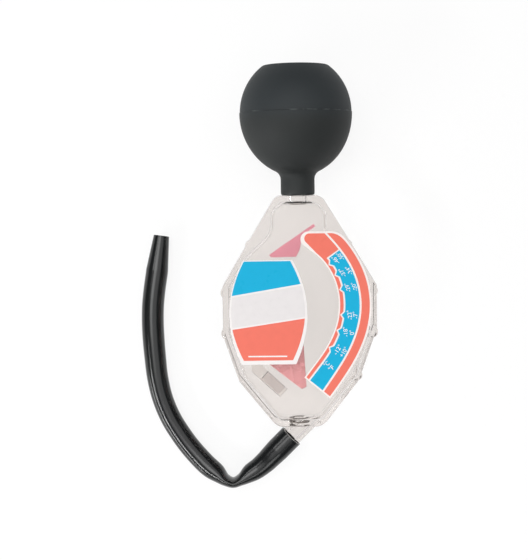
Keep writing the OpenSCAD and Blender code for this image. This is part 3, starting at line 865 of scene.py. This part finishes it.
def shell(whole, name, side):
    """One half of the body with its pin boss; the rear half also has the two float stops."""
    half = whole.copy()
    half.data = whole.data.copy()
    half.name = name
    bpy.context.scene.collection.objects.link(half)
    low, high = sorted((side * SEAM_GAP, side * CUT_REACH))
    carve(half, slab("half", low, high), "INTERSECT")
    up = (0, 0, side)
    root = INNER_DEPTH + WALL / 2
    boss = cylinder("boss", BOSS_R, BOSS_END, root, (*PIVOT, 0), up, BOSS_EDGE)
    carve(half, boss, "UNION")
    if side < 0:
        elbow_deg = math.degrees(math.atan2(-ARM_DROP, -ARM_LEAN))
        turn = math.degrees(math.asin((ARM_W / 2 + STOP_R + STOP_GAP) / STOP_AT))
        for deg in (elbow_deg - turn, elbow_deg + SWING_DEG + turn):
            at = PIVOT + STOP_AT * toward(deg)
            peg = cylinder("peg", STOP_R, VANE_T / 2 + STOP_GAP, root, (*at, 0), up, BOSS_EDGE)
            carve(half, peg, "UNION")
    seat = cylinder("seat", PIN_R + SEAT_CLEAR, 0, PIN_LEN / 2 + SEAT_CLEAR, (*PIVOT, 0), up)
    carve(half, seat, "DIFFERENCE")
    return smooth(half, sharp_deg=30)


whole_body = clear_body()
clear = clear_polystyrene()
for name, side in (("front_shell", 1), ("rear_shell", -1)):
    half = shell(whole_body, name + "_clear", side)
    paint(half, clear)
    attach(half, "root")
    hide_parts(name)
bpy.data.objects.remove(whole_body)

# Thin dark rings round the mouths of the two ports, seen edge-on through the front window: painted shade
# that stands in for the dark openings of the ports seen through the clear plastic
SHADE_RING_T = 0.5
PORT_SHADE_RINGS = [("bulb_port_shade", (0.0, 48.6), 3.0, 3.9), ("hose_port_shade", (-0.4, -50.1), 2.6, 4.6)]


def shade_ring(name, at, bore_r, ring_r):
    """Flat ring of painted shade about the body's line at a port."""
    profile = [[bore_r, 0], [ring_r, 0], [ring_r, SHADE_RING_T], [bore_r, SHADE_RING_T]]
    return grid_solid(name, laid(revolved(profile, (*at, 0), (0, 1, 0))), ring=True)


painted_shade = painted_port_shade()
for row in PORT_SHADE_RINGS:
    ring = shade_ring(*row)
    paint(smooth(ring), painted_shade)
    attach(ring, "root")

# Float and its ballast arm


def plate(name, outline, low, high, edge=0.25):
    """Flat plate with softened rims: the outline drawn in a little towards its middle at both faces."""
    middle = outline.mean(0)
    drawn_in = outline - unit(outline - middle) * edge
    levels = [(drawn_in, low), (outline, low + edge), (outline, high - edge), (drawn_in, high)]
    rings = np.stack([raised(ring, z) for ring, z in levels])
    return grid_solid(name, laid(rings))


def spun(points, deg):
    """Points turned by an angle: along toward(deg) and across it."""
    points = np.asarray(points, float)
    return points[:, :1] * toward(deg) + points[:, 1:2] * toward(deg + 90)


def bored(piece):
    """The piece with the pin's hole through it."""
    hole = cylinder("hole", PIN_R + PIN_CLEAR, -HUB_LEN, HUB_LEN, (*PIVOT, 0), (0, 0, 1), turns=32)
    return smooth(carve(piece, hole, "DIFFERENCE"), sharp_deg=40)


def float_vane_piece():
    """Kite-shaped pointer with rounded corners on a round hub, bored for the pin."""
    corners = np.array([
        [VANE_LEN, VANE_TIP_W / 2, VANE_TIP_ROUND], [VANE_LEN, -VANE_TIP_W / 2, VANE_TIP_ROUND],
        [VANE_WIDE_AT, -VANE_W / 2, VANE_WIDE_ROUND], [0, -VANE_ROOT_W / 2, VANE_ROOT_ROUND],
        [0, VANE_ROOT_W / 2, VANE_ROOT_ROUND], [VANE_WIDE_AT, VANE_W / 2, VANE_WIDE_ROUND]])
    outline = PIVOT + spun(rounded(corners, steps=6), VANE_DEG)
    vane = plate("float_pointer", outline, -VANE_T / 2, VANE_T / 2)
    hub = cylinder("hub", HUB_R, -VANE_T / 2, HUB_LEN / 2, (*PIVOT, 0), (0, 0, 1), HUB_EDGE)
    carve(vane, hub, "UNION")
    return bored(vane)


def bar(start, end, width):
    """Four corners of a straight bar."""
    way = (end - start) / np.linalg.norm(end - start)
    out = np.array([-way[1], way[0]]) * width / 2
    return np.array([start - out, end - out, end + out, start + out])


def ballast_arm_piece():
    """Clear arm behind the pointer: hub, upright, round elbow and slanting strip."""
    low = -HUB_LEN / 2
    high = -VANE_T / 2 - FIT_GAP
    elbow = PIVOT + [-ARM_LEAN, -ARM_DROP]
    arm = cylinder("ballast_strip", HUB_R, low, high, (*PIVOT, 0), (0, 0, 1), ARM_EDGE)
    carve(arm, plate("upright", bar(PIVOT, elbow, ARM_W), low, high, ARM_EDGE), "UNION")
    carve(arm, cylinder("elbow", ARM_W / 2, low, high, (*elbow, 0), (0, 0, 1), ARM_EDGE), "UNION")
    strip_end = elbow + STRIP_LEN * toward(STRIP_DEG)
    carve(arm, plate("strip", bar(elbow, strip_end, ARM_W), low, high, ARM_EDGE), "UNION")
    return bored(arm)


vane = float_vane_piece()
paint(vane, tinted_plastic("pink_acetate", "#ca8a8d", through=0.15))
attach(vane, "float")
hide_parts("float_vane")
arm = ballast_arm_piece()
paint(arm, clear)
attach(arm, "float")
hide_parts("ballast_arm")
paint(NODES["pivot_pin"], bare_steel("drawn_steel", "#c4c4c6", rough=0.3))
paint(NODES["ballast_slug"], bare_steel("sheared_steel", "#b8b5b6", rough=0.5))

# Prints on the films
INK_LOW = HALF_DEPTH + FILM_T + INK_LIFT
INK_HIGH = INK_LOW + INK_T
FIELD_POINTS = 24


def flat_piece(name, outline, material, low=INK_LOW, thick=INK_T):
    """Flat piece of film or ink with an outline in the printed face's plane."""
    count = len(outline)
    levels = np.concatenate([raised(outline, z) for z in (low, low + thick)])
    around = np.arange(count)
    after = np.roll(around, -1)
    sides = np.stack([around, after, after + count, around + count], -1).tolist()
    piece = keep_mesh(name, laid(levels), [around[::-1].tolist(), (around + count).tolist()] + sides)
    paint(piece, material)
    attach(piece, "root")
    return piece


def name_side(side, y):
    """x of the name label's bowed side at a height: a straight slant from bottom to top plus a parabola that
    stands out most half way up."""
    share = (y - NAME_TOP + NAME_H) / NAME_H
    bow = (NAME_W - (NAME_TOP_W + NAME_BOTTOM_W) / 2) / 2
    half = (NAME_BOTTOM_W + (NAME_TOP_W - NAME_BOTTOM_W) * share) / 2 + 4 * bow * share * (1 - share)
    return -NAME_X + side * half


def name_field(low, high, low_margins, high_margins):
    """Outline between the label's two sides and two straight lines. Each line has its left and right end
    heights, and the margins run evenly from the lower line's to the upper line's."""
    steps = np.linspace(0, 1, FIELD_POINTS)
    left_y, right_y = (low[k] + (high[k] - low[k]) * steps for k in (0, 1))
    left_in, right_in = (low_margins[k] + (high_margins[k] - low_margins[k]) * steps for k in (0, 1))
    left = np.column_stack([name_side(-1, left_y) + left_in, left_y])
    right = np.column_stack([name_side(1, right_y) - right_in, right_y])
    return np.concatenate([left[::-1], right])


coral = printed_film("coral_ink", "#ee7968")
blue = printed_film("blue_ink", "#18aed8")
white = printed_film("white_ink", "#f4f1f0")
grey = printed_film("grey_ink", "#e4e0e0")
paint(NODES["name_label"], printed_film("white_vinyl_film", "#f0eceb"))
paint(NODES["fluid_mark"], printed_film("pink_vinyl_film", "#da909f"))

# Name label: each field's piece, ink, end heights of its lower and upper lines, and margins at both
NAME_FIELDS = [
    ("name_blue_field", blue, (8.5, 13.4), (23.6, 23.6), (0.4, 0.9), (0.6, 1.2)),
    ("name_grey_field", grey, (-5.7, -1.1), (7.7, 12.6), (0.9, 1.0), (0.7, 0.9)),
    ("name_coral_field", coral, (-20.4, -20.4), (-6.5, -1.9), (1.7, 2.2), (0.8, 1.1))]
NAME_RULE = np.array([[-23.0, -18.8], [-5.8, -18.9], [-5.8, -18.3], [-23.0, -18.2]])
for field, ink, *lines in NAME_FIELDS:
    flat_piece(field, name_field(*lines), ink)
flat_piece("name_rule", NAME_RULE, white, INK_HIGH + INK_LIFT)

# Dial print: radii about the pivot where the coral strip begins and where the outer white line runs
DIAL_DEG = np.array([-58, -46, -34, -20, -5, 12, 30, 48])
STRIP_R = np.array([36.4, 34.45, 33.85, 34.15, 34.8, 35.35, 35.6, 34.95])
LINE_R = np.array([46.9, 43.95, 42.9, 43.05, 43.75, 44.25, 44.0, 44.2])
DIAL_END = np.array([7.0, -31.9])
END_DEG = -130.0
END_MARGIN = 0.7
FILM_IN = -0.65
FILM_OUT = 4.85
STRIP_W = 1.5
BLUE_IN = 2.25
LINE_HALF = 0.42
OUTER_W = 4.0
BLUE_TOP_DEG = 36.7
HEAD_DEG = 37.8
NOSE_DEG = 48.0
NOSE_AT = np.array([4.0, 33.0])
NOSE_R = 3.4
NOSE_TURN_DEG = 232.0
CORAL_NOSE_AT = np.array([4.5, 33.3])
CORAL_NOSE_R = 2.25
DIAL_CORNER = 3.5
TOOTH_DEG = np.array([33.0, 24.6, 13.9, -4.1, -15.6, -29.3])
TOOTH_DEPTH = 1.3
TOOTH_HALF = 1.5
DIAL_FROM_DEG = -62.0
DIAL_TOP_DEG = 48.0
DIAL_POINTS = 500
CURVE_DEGREE = 5
CORAL_NOSE_DEG = 45.0
HEAD_LOW_Y = 28.3

# Angles past the dial's top, up to which some lines run before they are cut
PAST_TOP_DEG = 52.0
OUTER_PAST_DEG = 54.0


def dial_line(radii, offset, top_deg, margin=0.0, tooth=0.0):
    """Line along the dial from its slanting lower end up to an angle: its radius about the pivot is the
    fifth-degree curve nearest the measured places, plus an offset. A tooth draws it in, as a small triangle,
    at each number."""
    angle = np.radians(np.linspace(DIAL_FROM_DEG, top_deg, DIAL_POINTS))
    reach = np.polyval(np.polyfit(np.radians(DIAL_DEG), radii, CURVE_DEGREE), angle) + offset
    apart = np.abs(angle[:, None] - np.radians(TOOTH_DEG)) * reach[:, None]
    reach = reach - tooth * np.clip(1 - apart / TOOTH_HALF, 0, None).max(1)
    points = PIVOT + reach[:, None] * np.column_stack([np.cos(angle), np.sin(angle)])
    past = (points - DIAL_END) @ toward(END_DEG) - margin
    first = np.argmax(past < 0)
    share = past[first - 1] / (past[first - 1] - past[first])
    end = points[first - 1] + (points[first] - points[first - 1]) * share
    return np.concatenate([[end], points[first:]])


def below(points, height):
    """The points up to the first that is higher than height."""
    return points[:np.argmax(points[:, 1] > height)]


def dial_corner(line, top):
    """Rounded top corner between a level edge and the outer line, which is cut back to meet the curve."""
    line = below(line, top)
    meet = [line[-1, 0], top]
    line = below(line, top - DIAL_CORNER)
    return np.concatenate([bent([meet[0] - DIAL_CORNER, top], meet, line[-1], steps=8), line[::-1]])


film_nose = arc(NOSE_AT, NOSE_R, NOSE_TURN_DEG, 90)
film_top = NOSE_AT[1] + NOSE_R
film_outline = np.concatenate([
    dial_line(STRIP_R, FILM_IN, NOSE_DEG, END_MARGIN), film_nose,
    dial_corner(dial_line(LINE_R, FILM_OUT, DIAL_TOP_DEG, END_MARGIN), film_top)])
dial_vinyl = printed_film("white_vinyl_dial", "#f4ece9")
film = flat_piece("dial_film", film_outline, dial_vinyl, HALF_DEPTH, FILM_T)
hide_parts("scale_label")

flat_piece("dial_blue_field", np.concatenate([
    dial_line(STRIP_R, BLUE_IN, BLUE_TOP_DEG, 0, TOOTH_DEPTH),
    dial_line(LINE_R, -LINE_HALF, BLUE_TOP_DEG)[::-1]]), blue)
coral_top = CORAL_NOSE_AT[1] + CORAL_NOSE_R
head_side = below(dial_line(LINE_R, -LINE_HALF, PAST_TOP_DEG), coral_top)
head_side = head_side[head_side[:, 1] > HEAD_LOW_Y]
flat_piece("dial_inner_field", np.concatenate([
    dial_line(STRIP_R, 0, CORAL_NOSE_DEG), arc(CORAL_NOSE_AT, CORAL_NOSE_R, NOSE_TURN_DEG, 90),
    head_side[::-1], dial_line(STRIP_R, STRIP_W, HEAD_DEG, 0, TOOTH_DEPTH)[::-1]]), coral)
flat_piece("dial_outer_field", np.concatenate([
    below(dial_line(LINE_R, LINE_HALF, OUTER_PAST_DEG), coral_top),
    dial_corner(dial_line(LINE_R, OUTER_W, PAST_TOP_DEG), coral_top)]), coral)

# Dial numbers: text, place and reading direction in degrees, distance inside the outer line, and height
NUMBERS = [
    ("-46°", 33.3, 130, 4.4, 1.8), ("-50°", 33.6, 130, 1.8, 1.8), ("-37°", 24.2, 121, 4.6, 1.8),
    ("-34°", 23.6, 121, 1.6, 1.8), ("-29°", 14.0, 112, 4.8, 1.8), ("-20°", 13.4, 112, 1.8, 1.8),
    ("-22°", -3.9, 101, 4.6, 1.9), ("-7°", -3.7, 101, 2.1, 1.9), ("-18°", -15.1, 97, 4.7, 1.9),
    ("0°", -14.6, 97, 2.0, 1.9), ("-12°", -28.0, 57, 4.8, 2.0), ("+10°", -27.7, 57, 1.9, 2.0),
    ("°C", -40.2, 41, 5.8, 2.1), ("°F", -40.3, 41, 3.0, 2.1)]
NUMBER_PITCH = 0.56
NUMBER_DEPTH = 0.5


def number_mesh(text, deg, reading_deg, inside, height):
    """Text as a thin solid: its box is set to the number's height and to one pitch for each sign, a share of
    the height, then it is turned to its reading direction and put on the dial."""
    curve = bpy.data.curves.new("number", "FONT")
    curve.body = text
    curve.extrude = NUMBER_DEPTH
    holder = bpy.data.objects.new("number", curve)
    bpy.context.scene.collection.objects.link(holder)
    graph = bpy.context.evaluated_depsgraph_get()
    mesh = bpy.data.meshes.new_from_object(holder.evaluated_get(graph))
    spots = vertex_places(mesh)
    faces = [list(face.vertices) for face in mesh.polygons]
    bpy.data.objects.remove(holder)
    low = spots.min(0)
    size = spots.max(0) - low
    flat = (spots - low - size / 2) / size * [NUMBER_PITCH * height * len(text), height, INK_T]
    line_r = np.interp(deg, DIAL_DEG, LINE_R)
    at = PIVOT + (line_r - inside) * toward(deg)
    placed = at + spun(flat[:, :2], reading_deg)
    return np.column_stack([placed, flat[:, 2] + INK_HIGH + INK_LIFT + INK_T / 2]), faces


def dial_numbers():
    """All the numbers in one piece."""
    made = [number_mesh(*row) for row in NUMBERS]
    starts = np.cumsum([0] + [len(spots) for spots, _ in made])
    faces = [[k + int(start) for k in face] for (_, part), start in zip(made, starts) for face in part]
    piece = keep_mesh("dial_numbers", laid(np.concatenate([spots for spots, _ in made])), faces)
    paint(piece, white)
    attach(piece, "root")


dial_numbers()

# Table and light
TABLE_HALF_M = 20.0
TABLE_DROP_M = 0.0002
table_corners = np.array([[-1, -1, 0], [1, -1, 0], [1, 1, 0], [-1, 1, 0]]) * TABLE_HALF_M
table = keep_mesh("table", table_corners - [0, 0, TABLE_DROP_M], [[0, 1, 2, 3]])
paint(table, white_table())

# Strengths of the room, of its pale wall and of what clear plastic shows, then where the wall begins
ROOM_LEVEL = 0.1
WALL_LEVEL = 0.8
THROUGH_LEVEL = 0.4
WALL_X = (0.86, 0.94)


def studio_room():
    """Dim studio with a pale wall low down on the right. Through clear plastic it shows paler, and the
    camera sees it white above the table's edge."""
    world = bpy.data.worlds.new("studio")
    world.use_nodes = True
    tree = world.node_tree
    tree.nodes.clear()
    output = add_node(tree, "ShaderNodeOutputWorld")
    place = add_node(tree, "ShaderNodeTexCoord")
    way = add_node(tree, "ShaderNodeSeparateXYZ", inputs={0: place.outputs["Generated"]})
    level = ranged(tree, way.outputs["X"], to=(ROOM_LEVEL, WALL_LEVEL), start=WALL_X, kind="SMOOTHSTEP")
    room, pale, white = (
        add_node(tree, "ShaderNodeBackground", inputs={
            "Color": linear("#ffffff"), "Strength": strength}).outputs["Background"]
        for strength in (level, THROUGH_LEVEL, 1.0))
    rays = add_node(tree, "ShaderNodeLightPath").outputs
    unseen = either(tree, rays["Is Transmission Ray"], room, pale)
    tree.links.new(either(tree, rays["Is Camera Ray"], unseen, white), output.inputs["Surface"])
    bpy.context.scene.world = world


def lamp(name, kind, place_m, settings):
    """Lamp that faces the body from a place."""
    light = bpy.data.lights.new(name, kind)
    for key, value in settings.items():
        setattr(light, key, value)
    piece = bpy.data.objects.new(name, light)
    piece.location = place_m
    piece.rotation_euler = (Vector(place_m) * -1).to_track_quat("-Z", "Y").to_euler()
    bpy.context.scene.collection.objects.link(piece)


def far_light(name, place_m, wide_deg, energy):
    """Round soft light from far away."""
    lamp(name, "SUN", place_m, {"angle": math.radians(wide_deg), "energy": energy})


def soft_box(name, place_m, wide_m, high_m, energy):
    """Rectangular soft light."""
    lamp(name, "AREA", place_m, {"shape": "RECTANGLE", "size": wide_m, "size_y": high_m, "energy": energy})


studio_room()
far_light("ceiling", (0.14, 0.12, 1.0), wide_deg=70, energy=1.28)
far_light("panel", (-0.2, 0.17, 1.0), wide_deg=30, energy=0.67)
soft_box("low_strip", (-0.66, -0.43, 0.04), wide_m=0.46, high_m=0.06, energy=1.2)
soft_box("high_strip", (-0.57, -0.38, 0.45), wide_m=0.46, high_m=0.05, energy=2.2)
soft_box("side_panel", (-0.5, 0.24, 0.62), wide_m=0.3, high_m=0.14, energy=0.6)
soft_box("front_panel", (0.0, -0.6, 0.5), wide_m=0.4, high_m=0.2, energy=0.75)
bpy.context.scene.view_settings.view_transform = "Standard"
